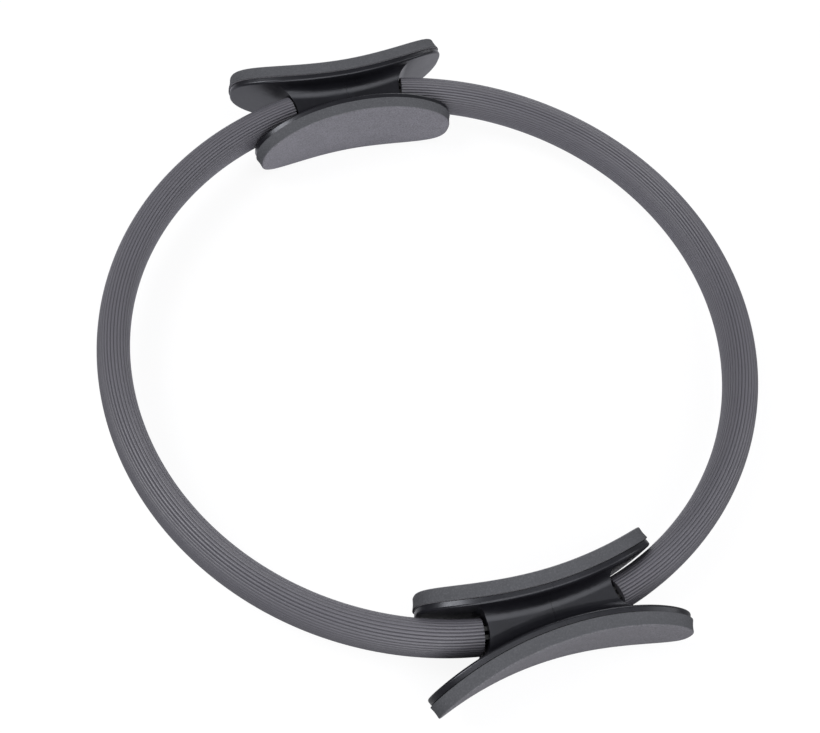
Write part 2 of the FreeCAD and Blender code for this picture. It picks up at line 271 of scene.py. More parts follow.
class NodeBench:
    """Adds nodes to one tree and links them."""

    def __init__(self, tree: bpy.types.NodeTree) -> None:
        """Work on a node tree."""
        self.tree = tree

    def node(self, kind: str, settings: dict[str, Any] | None = None,
             values: dict[SocketKey, Any] | None = None, output: SocketKey = 0) -> Value:
        """Add a node, set it up and link it.

        Args:
            kind: Blender's name of the node type.
            settings: Properties to set first.
            values: Numbers, colours or links for its input sockets, by name or index; a list
                links several values to one socket.
            output: The output socket to return.

        Returns:
            One output of the new node.
        """
        made = self.tree.nodes.new(kind)
        for key, setting in (settings or {}).items():
            setattr(made, key, setting)
        for key, value in (values or {}).items():
            for single in value if isinstance(value, list) else [value]:
                self._feed(made.inputs[key], single)
        return Value(self, made, output)

    def _feed(self, socket: bpy.types.NodeSocket, value: Any) -> None:
        """Link a value to an input socket, or set the socket to it.

        Args:
            socket: The input socket.
            value: A link, a number, a place, a colour or a name.
        """
        if isinstance(value, Value):
            self.tree.links.new(value.socket, socket)
        elif socket.type == "RGBA":
            socket.default_value = (*value, 1.0)
        else:
            socket.default_value = value

    def vector(self, x: Any, y: Any, z: Any) -> Value:
        """A vector from three values."""
        return self.node("ShaderNodeCombineXYZ", values={"X": x, "Y": y, "Z": z})

    def from_axis(self, at: Value) -> Value:
        """Distance of a place from the ring's axis."""
        flat = self.node("ShaderNodeVectorMath", {"operation": "MULTIPLY"}, {0: at, 1: RING_PLANE})
        return self.node("ShaderNodeVectorMath", {"operation": "LENGTH"}, {0: flat}, "Value")

    def mix(self, factor: Value, first: Any, second: Any) -> Value:
        """Mix two colours by a factor.

        Args:
            factor: Share of the second colour.
            first: Colour or link at factor 0.
            second: Colour or link at factor 1.

        Returns:
            The mixed colour.
        """
        return self.node("ShaderNodeMix", {"data_type": "RGBA"},
                         {"Factor": factor, "A": first, "B": second}, "Result")

    def shaded(self, colour: Value, shade: Value) -> Value:
        """Make a colour lighter or darker.

        Args:
            colour: The colour.
            shade: What its light is multiplied by.

        Returns:
            The changed colour.
        """
        return self.node("ShaderNodeMix", {"data_type": "RGBA", "blend_type": "MULTIPLY"},
                         {"Factor": 1.0, "A": colour, "B": self.vector(shade, shade, shade)}, "Result")

    def spread(self, value: Value, ramp: Spread) -> Value:
        """Map a range of values to another range, clamped.

        Args:
            value: The value to map.
            ramp: The two ends of both ranges.

        Returns:
            The mapped value.
        """
        return self.node("ShaderNodeMapRange", {"clamp": True}, {
            "Value": value, "From Min": ramp.low[0], "From Max": ramp.high[0],
            "To Min": ramp.low[1], "To Max": ramp.high[1]})

    def surface(self, values: dict[SocketKey, Any]) -> Value:
        """A Principled surface with some of its sockets set."""
        return self.node("ShaderNodeBsdfPrincipled", values=values, output="BSDF")

    def mix_shaders(self, share: Value, first: Value, second: Value) -> Value:
        """Mix two shaders by the share of the second."""
        return self.node("ShaderNodeMixShader", values={0: share, 1: first, 2: second})


class Finish:
    """A surface finish that dresses pieces with one procedural material."""

    slot: str = ""
    bump_depth: float = 0.0
    bump_strength: float = 0.0

    def __init__(self) -> None:
        """Make no material until one is asked for."""
        self._material: bpy.types.Material | None = None

    @property
    def material(self) -> bpy.types.Material:
        """Make the material on first use.

        Returns:
            The material.
        """
        if self._material is None:
            self._material = bpy.data.materials.new(type(self).__name__)
            self._material.use_nodes = True
            tree = self._material.node_tree
            tree.nodes.clear()
            bench = NodeBench(tree)
            bench.node("ShaderNodeOutputMaterial", values={"Surface": self.shader(bench)})
        return self._material

    def shader(self, bench: NodeBench) -> Value:
        """Build the surface shader."""
        raise NotImplementedError

    @staticmethod
    def place(bench: NodeBench) -> Value:
        """Object coordinates in metres."""
        return bench.node("ShaderNodeTexCoord", output="Object")

    @staticmethod
    def noise(bench: NodeBench, at: Value, grain: Grain) -> Value:
        """Noise of a grain size.

        Args:
            bench: Where the nodes go.
            at: Coordinates.
            grain: The pattern.

        Returns:
            The noise, about 0.5.
        """
        return bench.node("ShaderNodeTexNoise", {"noise_dimensions": "3D"}, {
            "Vector": at, "Scale": 1.0 / grain.size, "Detail": grain.detail, "Roughness": grain.falloff})

    @staticmethod
    def attribute(bench: NodeBench, mark: SurfaceMark) -> Value:
        """A number stored on the mesh."""
        return bench.node("ShaderNodeAttribute", {"attribute_name": mark.value}, output="Fac")

    def bump(self, bench: NodeBench, height: Value) -> Value:
        """A bump as deep and as strong as this finish has it."""
        return bench.node("ShaderNodeBump", values={
            "Height": height, "Distance": self.bump_depth, "Strength": self.bump_strength})

    def dress(self, piece: bpy.types.Object) -> None:
        """Give a piece this finish as its only material.

        Args:
            piece: The piece.
        """
        piece.data.materials.clear()
        piece.data.materials.append(self.material)


class SleeveFinish(Finish):
    """Grey extruded rubber with fine ribs: crests polished, grooves dull and painted darker with shade and
    dust.
    """

    slot = "sleeve"
    crest: Colour = linear(88, 87, 94)
    # Painted shade and dust: the colour of the rib grooves, darker than the crests.
    groove_dust_and_shade: Colour = linear(56, 55, 60)
    worn: Colour = linear(95, 94, 101)
    grain = Grain(0.45 * MILLIMETRE, 3.0)
    patch = Grain(30.0 * MILLIMETRE)
    streak_length = 60.0 * MILLIMETRE
    streaks_round = 900.0
    crest_share = Spread((0.0, 0.0), (0.8, 1.0))
    worn_share = Spread((0.4, 0.0), (0.7, 0.5))
    grain_shade = Spread((0.25, 0.86), (0.75, 1.1))
    patch_shade = Spread((0.3, 0.97), (0.7, 1.03))
    groove_roughness = 0.53
    crest_polish = 0.16
    grain_roughness = Spread((0.3, -0.05), (0.7, 0.05))
    bump_depth = 0.04 * MILLIMETRE
    bump_strength = 0.5
    refraction = 1.5
    gloss = 0.5

    def shader(self, bench: NodeBench) -> Value:
        """Rubber with painted shade and dust darkening the rib grooves against the crests, with streaks along
        the extrusion.

        Args:
            bench: The material's tree.

        Returns:
            The shader.
        """
        at = self.place(bench)
        height = self.attribute(bench, SurfaceMark.RIB_HEIGHT)
        along = self.attribute(bench, SurfaceMark.ALONG) / self.streak_length
        around = self.attribute(bench, SurfaceMark.AROUND) * self.streaks_round
        streak = self.noise(bench, bench.vector(along, around, 0.0), UNIT_GRAIN)
        fine = self.noise(bench, at, self.grain)
        patch = self.noise(bench, at, self.patch)
        # Painted shade and dust: the colour runs from the dark groove colour at rib height 0 to the crest
        # colour near the top of each rib.
        base = bench.mix(bench.spread(height, self.crest_share), self.groove_dust_and_shade, self.crest)
        base = bench.mix(bench.spread(streak, self.worn_share), base, self.worn)
        shade = bench.spread(fine, self.grain_shade) * bench.spread(patch, self.patch_shade)
        uneven = bench.spread(fine, self.grain_roughness)
        return bench.surface({
            "Base Color": bench.shaded(base, shade),
            "Roughness": self.groove_roughness - self.crest_polish * height + uneven,
            "Normal": self.bump(bench, fine),
            "IOR": self.refraction, "Specular IOR Level": self.gloss})


class FoamFinish(Finish):
    """Closed-cell foam: a fine speckled skin, and darker open cells where it was cut."""

    slot = "foam"
    skin: Colour = linear(122, 121, 127)
    cut: Colour = linear(73, 74, 78)
    fleck: Colour = linear(152, 151, 158)
    pore: Colour = linear(60, 60, 65)
    cell_size = 0.6 * MILLIMETRE
    cell_disorder = 1.0
    cell_sink = 0.5
    grain = Grain(0.9 * MILLIMETRE, 3.0)
    cloud = Grain(12.0 * MILLIMETRE)
    cut_quiet = 0.8
    fleck_share = Spread((0.51, 0.0), (0.70, 0.42))
    pore_share = Spread((0.49, 0.0), (0.30, 0.42))
    cell_share = Spread((0.55, 0.0), (0.95, 0.25))
    cloud_shade = Spread((0.3, 0.96), (0.7, 1.04))
    grain_roughness = Spread((0.3, 0.78), (0.7, 0.9))
    bump_depth = 0.12 * MILLIMETRE
    bump_strength = 0.55
    refraction = 1.45
    gloss = 0.4

    def shader(self, bench: NodeBench) -> Value:
        """Foam with cells that show as light flecks and dark pores.

        Args:
            bench: The material's tree.

        Returns:
            The shader.
        """
        at = self.place(bench)
        cut = self.attribute(bench, SurfaceMark.CUT_SIDE)
        cells = bench.node("ShaderNodeTexVoronoi", {"feature": "F1"}, {
            "Vector": at, "Scale": 1.0 / self.cell_size, "Randomness": self.cell_disorder}, "Distance")
        fine = self.noise(bench, at, self.grain)
        cloud = self.noise(bench, at, self.cloud)
        base = bench.mix(cut, self.skin, self.cut)
        fleck = bench.spread(fine, self.fleck_share) * (1.0 - self.cut_quiet * cut)
        pore = bench.spread(fine, self.pore_share) + bench.spread(cells, self.cell_share)
        base = bench.mix(fleck, base, self.fleck)
        base = bench.mix(pore, base, self.pore)
        return bench.surface({
            "Base Color": bench.shaded(base, bench.spread(cloud, self.cloud_shade)),
            "Roughness": bench.spread(fine, self.grain_roughness),
            "Normal": self.bump(bench, fine - self.cell_sink * cells),
            "IOR": self.refraction, "Specular IOR Level": self.gloss})


class HousingFinish(Finish):
    """Near-black moulded plastic with a soft satin gloss."""

    slot = "housing"
    plastic: Colour = linear(18, 18, 22)
    streaked: Colour = linear(22, 22, 27)
    dusty: Colour = linear(36, 36, 41)
    sheen: Colour = (0.90, 0.92, 1.0)
    grain = Grain(0.6 * MILLIMETRE)
    flow = Grain(18.0 * MILLIMETRE, 3.0)
    dust = Grain(3.5 * MILLIMETRE, 4.0)
    flow_share = Spread((0.35, 0.0), (0.7, 1.0))
    dust_share = Spread((0.62, 0.0), (0.85, 0.35))
    satin = 0.30
    flow_roughness = Spread((0.3, -0.03), (0.7, 0.05))
    dust_roughness = Spread((0.5, 0.0), (0.8, 0.06))
    bump_depth = 0.02 * MILLIMETRE
    bump_strength = 0.35
    refraction = 1.5
    gloss = 0.5

    def shader(self, bench: NodeBench) -> Value:
        """Plastic with faint flow marks, a fine grain and a little dust.

        Args:
            bench: The material's tree.

        Returns:
            The shader.
        """
        at = self.place(bench)
        flow = self.noise(bench, at, self.flow)
        dust = self.noise(bench, at, self.dust)
        base = bench.mix(bench.spread(flow, self.flow_share), self.plastic, self.streaked)
        base = bench.mix(bench.spread(dust, self.dust_share), base, self.dusty)
        rough = self.satin + bench.spread(flow, self.flow_roughness) + bench.spread(dust, self.dust_roughness)
        return bench.surface({
            "Base Color": base, "Roughness": rough,
            "Normal": self.bump(bench, self.noise(bench, at, self.grain)),
            "IOR": self.refraction, "Specular IOR Level": self.gloss, "Specular Tint": self.sheen})


class LeafFinish(Finish):
    """Dark pultruded glass fibre with rovings along its length."""

    slot = "leaf"
    resin: Colour = linear(22, 21, 23)
    roving: Colour = linear(34, 33, 35)
    roving_size = 0.6 * MILLIMETRE
    roving_share = Spread((0.45, 0.0), (0.7, 1.0))
    roving_roughness = Spread((0.3, 0.35), (0.7, 0.5))
    bump_depth = 0.03 * MILLIMETRE
    bump_strength = 0.4

    def shader(self, bench: NodeBench) -> Value:
        """Resin with pale rovings that run along the leaf.

        Args:
            bench: The material's tree.

        Returns:
            The shader.
        """
        at = self.place(bench)
        through = bench.from_axis(at) / self.roving_size
        across = bench.node("ShaderNodeSeparateXYZ", values={"Vector": at}, output="Z") / self.roving_size
        roving = self.noise(bench, bench.vector(through, across, 0.0), UNIT_GRAIN)
        return bench.surface({
            "Base Color": bench.mix(bench.spread(roving, self.roving_share), self.resin, self.roving),
            "Roughness": bench.spread(roving, self.roving_roughness),
            "Normal": self.bump(bench, roving)})


class SteelFinish(Finish):
    """Bright plated steel with fine wear."""

    plating: Colour = linear(186, 186, 184)
    dull: Colour = linear(140, 139, 136)
    patch = Grain(4.0 * MILLIMETRE, 4.0)
    dull_share = Spread((0.4, 0.0), (0.7, 1.0))
    dull_roughness = Spread((0.3, 0.28), (0.7, 0.45))

    def shader(self, bench: NodeBench) -> Value:
        """Metal whose plating dulls in patches.

        Args:
            bench: The material's tree.

        Returns:
            The shader.
        """
        patch = self.noise(bench, self.place(bench), self.patch)
        return bench.surface({
            "Base Color": bench.mix(bench.spread(patch, self.dull_share), self.plating, self.dull),
            "Metallic": 1.0, "Roughness": bench.spread(patch, self.dull_roughness)})


class FloorFinish(Finish):
    """Studio floor: a painted pool of light inside and behind the ring, painted shade in front, and white to
    the camera.
    """

    # Painted light and shade: light is the paper's colour inside and behind the ring, painted lighter so that
    # it bounces more light onto the ring and shows in its reflections; dim is painted shade on the paper in
    # front.
    light: Colour = (0.76, 0.76, 0.80)
    dim: Colour = (0.30, 0.30, 0.31)
    cool: Colour = (0.93, 0.93, 1.0)
    ring_inside = 166.0 * MILLIMETRE
    ring_outside = 186.0 * MILLIMETRE
    back_start = 100.0 * MILLIMETRE
    back_end = 170.0 * MILLIMETRE
    open_start = 350.0 * MILLIMETRE
    open_end = 900.0 * MILLIMETRE
    glow = 0.86
    white = 1.05

    def shader(self, bench: NodeBench) -> Value:
        """Paper that keeps a soft shadow under an even white that the camera sees, with painted light inside
        and behind the ring, painted shade in front and a painted white glow behind the ring in reflections.

        Args:
            bench: The material's tree.

        Returns:
            The shader.
        """
        at = self.place(bench)
        depth = bench.node("ShaderNodeSeparateXYZ", values={"Vector": at}, output="Y")
        away = bench.from_axis(at)
        inside = bench.spread(away, Spread((self.ring_inside, 1.0), (self.ring_outside, 0.0)))
        behind = bench.spread(depth, Spread((self.back_start, 0.0), (self.back_end, 1.0)))
        camera = bench.node("ShaderNodeLightPath", output="Is Camera Ray")
        gloss = camera.out("Is Glossy Ray")
        matt = {"Roughness": 1.0, "Specular IOR Level": 0.0}
        # Painted light and shade: lamps and reflections see the light paper inside and behind the ring and
        # the dim paper in front; the camera always sees the light paper.
        paper = bench.surface({
            "Base Color": bench.mix(inside.largest(behind).largest(camera), self.dim, self.light), **matt})
        white = bench.surface({
            "Base Color": BLACK, "Emission Color": bench.mix(camera, self.cool, WHITE),
            "Emission Strength": self.white, **matt})
        open_floor = bench.spread(away, Spread((self.open_start, self.glow), (self.open_end, 1.0)))
        # Painted reflection: glossy rays see the paper behind the ring as a cool white glow.
        seen = camera * open_floor + gloss * behind * self.glow
        return bench.mix_shaders(seen, paper, white)


class GeometryBench(NodeBench):
    """A Geometry Nodes tree with named sizes that builds one mesh."""

    def __init__(self, name: str) -> None:
        """Start an empty tree.

        Args:
            name: Name of the tree.
        """
        super().__init__(bpy.data.node_groups.new(name, "GeometryNodeTree"))
        self.tree.interface.new_socket("Geometry", in_out="OUTPUT", socket_type="NodeSocketGeometry")
        self._source = self.tree.nodes.new("NodeGroupInput")
        self._sizes: dict[str, Number] = {}

    def size(self, name: str, value: Number) -> Value:
        """Add a named input.

        Args:
            name: Name of the input.
            value: Its value on the finished piece.

        Returns:
            The input as a value.
        """
        kind = "NodeSocketInt" if isinstance(value, int) else "NodeSocketFloat"
        made = self.tree.interface.new_socket(name, in_out="INPUT", socket_type=kind)
        self._sizes[made.identifier] = value
        return Value(self, self._source, name)

    def store(self, geometry: Value, mark: SurfaceMark, value: Value) -> Value:
        """Store a number on every point.

        Args:
            geometry: What carries the points.
            mark: What the number stands for.
            value: The number.

        Returns:
            The geometry with the number on it.
        """
        return self.node("GeometryNodeStoreNamedAttribute", {"data_type": "FLOAT", "domain": "POINT"},
                         {"Geometry": geometry, "Name": mark.value, "Value": value})

    def resample(self, curve: Value, count: Value) -> Value:
        """Space a number of points evenly along a curve."""
        return self.node("GeometryNodeResampleCurve", {"mode": "COUNT"}, {"Curve": curve, "Count": count})

    def join(self, *parts: Value) -> Value:
        """Join several geometries."""
        return self.node("GeometryNodeJoinGeometry", values={"Geometry": list(parts)})

    def build(self, name: str, geometry: Value, material: bpy.types.Material) -> bpy.types.Object:
        """Close the tree, evaluate it and keep the result as a plain mesh.

        Args:
            name: Name of the piece.
            geometry: What the tree makes.
            material: Its material.

        Returns:
            The new piece.
        """
        whole = self.node("GeometryNodeRealizeInstances", values={"Geometry": geometry})
        dressed = self.node("GeometryNodeSetMaterial", values={"Geometry": whole, "Material": material})
        self.node("NodeGroupOutput", values={"Geometry": dressed})
        piece = show(name, bpy.data.meshes.new(name))
        modifier = piece.modifiers.new("build", "NODES")
        modifier.node_group = self.tree
        for identifier, value in self._sizes.items():
            modifier[identifier] = value
        graph = bpy.context.evaluated_depsgraph_get()
        mesh = bpy.data.meshes.new_from_object(piece.evaluated_get(graph))
        piece.modifiers.remove(modifier)
        piece.data = mesh
        mesh.name = name
        return piece


def show(name: str, data: bpy.types.ID) -> bpy.types.Object:
    """Put a mesh, lamp or camera into the scene.

    Args:
        name: Name of the new object.
        data: What it shows.

    Returns:
        The object, at the origin.
    """
    made = bpy.data.objects.new(name, data)
    bpy.context.scene.collection.objects.link(made)
    return made


def close_mesh(mesh: bpy.types.Mesh, reach: float, sharp: float, outward: bool) -> None:
    """Merge a mesh's doubles, smooth it and mark its sharp edges.

    Args:
        mesh: The mesh to change.
        reach: Distance within which points are one.
        sharp: Angle past which an edge stays sharp.
        outward: Whether the normals are worked out again.
    """
    work = bmesh.new()
    work.from_mesh(mesh)
    bmesh.ops.remove_doubles(work, verts=work.verts, dist=reach)
    if outward:
        bmesh.ops.recalc_face_normals(work, faces=work.faces)
    for face in work.faces:
        face.smooth = True
    for edge in work.edges:
        edge.smooth = len(edge.link_faces) == 2 and edge.calc_face_angle(0.0) < sharp
    work.to_mesh(mesh)
    work.free()


@dataclass(frozen=True)
class SolidCopy:
    """A merged, smooth copy of a CAD node as a new piece."""

    merge_reach: float = 0.002 * MILLIMETRE
    sharp: float = math.radians(32.0)

    def build(self, node: str, name: str) -> bpy.types.Object:
        """Copy a node.

        Args:
            node: The CAD node.
            name: Name of the new piece.

        Returns:
            The copy, which rides on nothing yet.
        """
        piece = show(name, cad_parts[node].data.copy())
        close_mesh(piece.data, self.merge_reach, self.sharp, False)
        return piece


@dataclass(frozen=True)
class RingPath:
    """Centre line of the ring, and how its oval section rolls along it."""

    radius: float = 181.0 * MILLIMETRE
    upper_roll: float = math.radians(15.5)
    lower_roll: float = math.radians(-4.0)
    flex_start: float = -160.0 * MILLIMETRE
    flex_end: float = 160.0 * MILLIMETRE

    def roll(self, end: GripEnd) -> float:
        """Roll of the section at a grip."""
        return self.upper_roll if end is GripEnd.UPPER else self.lower_roll

    def axes(self, end: GripEnd) -> Matrix:
        """Turn from a grip's own axes to the ring's.

        Args:
            end: The grip.

        Returns:
            Rotation whose columns are the grip's along, outward and upward axes.
        """
        plain = end.direction
        axial = Vector(RING_AXIS)
        turn = self.roll(end)
        outward = plain * math.cos(turn) + axial * math.sin(turn)
        upward = axial * math.cos(turn) - plain * math.sin(turn)
        along = outward.cross(upward)
        return Matrix((along, outward, upward)).transposed()

    def flex(self, piece: bpy.types.Object) -> None:
        """Bake a piece's placement into its mesh."""
        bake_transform(piece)


@dataclass
class RibbedSleeve:
    """One half of the ring's sleeve: a scalloped oval extrusion over two slots."""

    side: RingSide
    path: RingPath
    finish: SleeveFinish
    thickness: float = 18.0 * MILLIMETRE
    width: float = 29.0 * MILLIMETRE
    fullness: float = 2.3
    ribs: int = 40
    rib_depth: float = 0.5 * MILLIMETRE
    groove_sharpness: float = 2.4
    steps_per_rib: int = 10
    path_steps: int = 190
    oval_steps: int = 720
    slot_thickness: float = 2.8 * MILLIMETRE
    slot_width: float = 20.6 * MILLIMETRE
    slot_offset: float = 2.1 * MILLIMETRE
    merge_reach: float = 0.004 * MILLIMETRE
    sharp: float = math.radians(40.0)

    @property
    def node(self) -> str:
        """CAD node that this sleeve stands for."""
        return f"{self.side.value}_sleeve"

    def mouth(self) -> float:
        """Angle from the grips' axis at which the CAD sleeve is cut."""
        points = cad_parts[self.node].data.vertices
        return min(math.atan2(abs(point.co.x), point.co.y) for point in points)

    def _section(self, bench: GeometryBench) -> Value:
        """Scalloped outline with the height of its ribs stored on it.

        Args:
            bench: The sleeve's tree.

        Returns:
            The outline as a curve in the xy plane.
        """
        power = 2.0 / bench.size("Fullness", self.fullness)
        steps = bench.size("Steps per Rib", self.steps_per_rib)
        count = steps * bench.size("Ribs", self.ribs)
        index = bench.node("GeometryNodeInputIndex")
        turn = index * (math.tau / self.oval_steps)
        halves = []
        for wave, full in ((turn.cos(), bench.size("Thickness", self.thickness)),
                           (turn.sin(), bench.size("Width", self.width))):
            halves.append(wave.sign() * abs(wave) ** power * (full / 2.0))
        circle = bench.node("GeometryNodeCurvePrimitiveCircle", {"mode": "RADIUS"},
                            {"Resolution": self.oval_steps, "Radius": 1.0})
        oval = bench.node("GeometryNodeSetPosition", values={
            "Geometry": circle, "Position": bench.vector(halves[0], halves[1], 0.0)})
        even = bench.resample(oval, count)
        swing = (index / steps).fraction() * 2.0 - 1.0
        outward = bench.node("ShaderNodeVectorMath", {"operation": "CROSS_PRODUCT"},
                             {0: bench.node("GeometryNodeInputTangent"), 1: RING_AXIS})
        dip = abs(swing) ** bench.size("Groove Sharpness", self.groove_sharpness)
        sink = bench.node("ShaderNodeVectorMath", {"operation": "SCALE"},
                          {0: outward, "Scale": -dip * bench.size("Rib Depth", self.rib_depth)})
        scalloped = bench.node("GeometryNodeSetPosition", values={"Geometry": even, "Offset": sink})
        tall = bench.store(scalloped, SurfaceMark.RIB_HEIGHT, 1.0 - dip)
        return bench.store(tall, SurfaceMark.AROUND, index / count)

    def _centre_line(self, bench: GeometryBench) -> Value:
        """Arc from grip to grip that carries the roll.

        Args:
            bench: The sleeve's tree.

        Returns:
            The arc as a curve, with the distance along it stored on it.
        """
        steps = bench.size("Path Steps", self.path_steps)
        mouth = bench.size("Mouth Angle", self.mouth())
        radius = bench.size("Ring Radius", self.path.radius)
        upper = bench.size("Upper Roll", self.path.upper_roll)
        lower = bench.size("Lower Roll", self.path.lower_roll)
        share = bench.node("GeometryNodeInputIndex") / (steps - 1.0)
        turn = mouth + share * (math.pi - 2.0 * mouth)
        line = bench.node("GeometryNodeCurvePrimitiveLine", values={"End": RING_AXIS})
        arc = bench.node("GeometryNodeSetPosition", values={
            "Geometry": bench.resample(line, steps),
            "Position": bench.vector(turn.sin() * radius, turn.cos() * radius, 0.0)})
        level = bench.node("GeometryNodeSetCurveNormal", {"mode": "Z_UP"}, {"Curve": arc})
        roll = upper + (lower - upper) * (1.0 - (share * math.pi).cos()) * 0.5
        rolled = bench.node("GeometryNodeSetCurveTilt", values={"Curve": level, "Tilt": roll})
        return bench.store(rolled, SurfaceMark.ALONG, turn * radius)

    def _slots(self, bench: GeometryBench) -> Value:
        """Outlines of the two leaf slots.

        Args:
            bench: The sleeve's tree.

        Returns:
            Both outlines as curves in the xy plane.
        """
        offset = bench.size("Slot Offset", self.slot_offset)
        sheet = bench.node("GeometryNodeCurvePrimitiveQuadrilateral", {"mode": "RECTANGLE"}, {
            "Width": bench.size("Slot Thickness", self.slot_thickness),
            "Height": bench.size("Slot Width", self.slot_width)})
        both = [bench.node("GeometryNodeTransform", values={
            "Geometry": sheet, "Translation": bench.vector(step, 0.0, 0.0)}) for step in (offset, -offset)]
        return bench.join(*both)

    def _ends(self, bench: GeometryBench, line: Value, outlines: Value) -> Value:
        """Flat end faces with the slots left open.

        Args:
            bench: The sleeve's tree.
            line: Centre line of the sleeve.
            outlines: Outer outline and slots together.

        Returns:
            One face at each end of the line.
        """
        face = bench.node("GeometryNodeFillCurve", {"mode": "TRIANGLES"}, {"Curve": outlines})
        ends = bench.node("GeometryNodeCurveEndpointSelection", values={"Start Size": 1, "End Size": 1})
        facing = bench.node("FunctionNodeAxesToRotation", {"primary_axis": "Z", "secondary_axis": "X"}, {
            "Primary Axis": bench.node("GeometryNodeInputTangent"),
            "Secondary Axis": bench.node("GeometryNodeInputNormal")})
        return bench.node("GeometryNodeInstanceOnPoints", values={
            "Points": line, "Selection": ends, "Instance": face, "Rotation": facing})

    def build(self) -> bpy.types.Object:
        """Build the sleeve, dress it and set it on the ring.

        Returns:
            The finished piece.
        """
        bench = GeometryBench(f"ribbed sleeve {self.side.value}")
        section = self._section(bench)
        line = self._centre_line(bench)
        outlines = bench.join(section, self._slots(bench))
        walls = bench.node("GeometryNodeCurveToMesh", values={"Curve": line, "Profile Curve": outlines})
        joined = bench.join(walls, self._ends(bench, line, outlines))
        mirrored = bench.node("GeometryNodeTransform", values={
            "Geometry": joined, "Scale": bench.vector(bench.size("Side", float(self.side.sign)), 1.0, 1.0)})
        piece = bench.build(f"{self.side.value}_ribbed_sleeve", mirrored, self.finish.material)
        close_mesh(piece.data, self.merge_reach, self.sharp, True)
        self.path.flex(piece)
        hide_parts(self.node)
        self.finish.dress(piece)
        return piece


@dataclass
class SpringLeaf:
    """A flat spring inside one sleeve, seen only where it enters the grips."""

    side: RingSide
    place: LeafPlace
    path: RingPath
    finish: LeafFinish
    slices: int = 60
    slice_reach: float = 0.0001 * MILLIMETRE

    def build(self) -> bpy.types.Object:
        """Copy the CAD leaf, slice it so that it can bend, and dress it.

        Returns:
            The finished piece.
        """
        node = f"{self.side.value}_{self.place.value}_leaf"
        piece = SolidCopy().build(node, f"{self.side.value}_{self.place.value}_spring_leaf")
        work = bmesh.new()
        work.from_mesh(piece.data)
        for step in range(1, self.slices):
            turn = math.pi * step / self.slices
            parts = list(work.verts) + list(work.edges) + list(work.faces)
            bmesh.ops.bisect_plane(work, geom=parts, dist=self.slice_reach, plane_co=CENTRE,
                                   plane_no=(math.cos(turn), -self.side.sign * math.sin(turn), 0.0))
        work.to_mesh(piece.data)
        work.free()
        self.path.flex(piece)
        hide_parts(node)
        self.finish.dress(piece)
        return piece


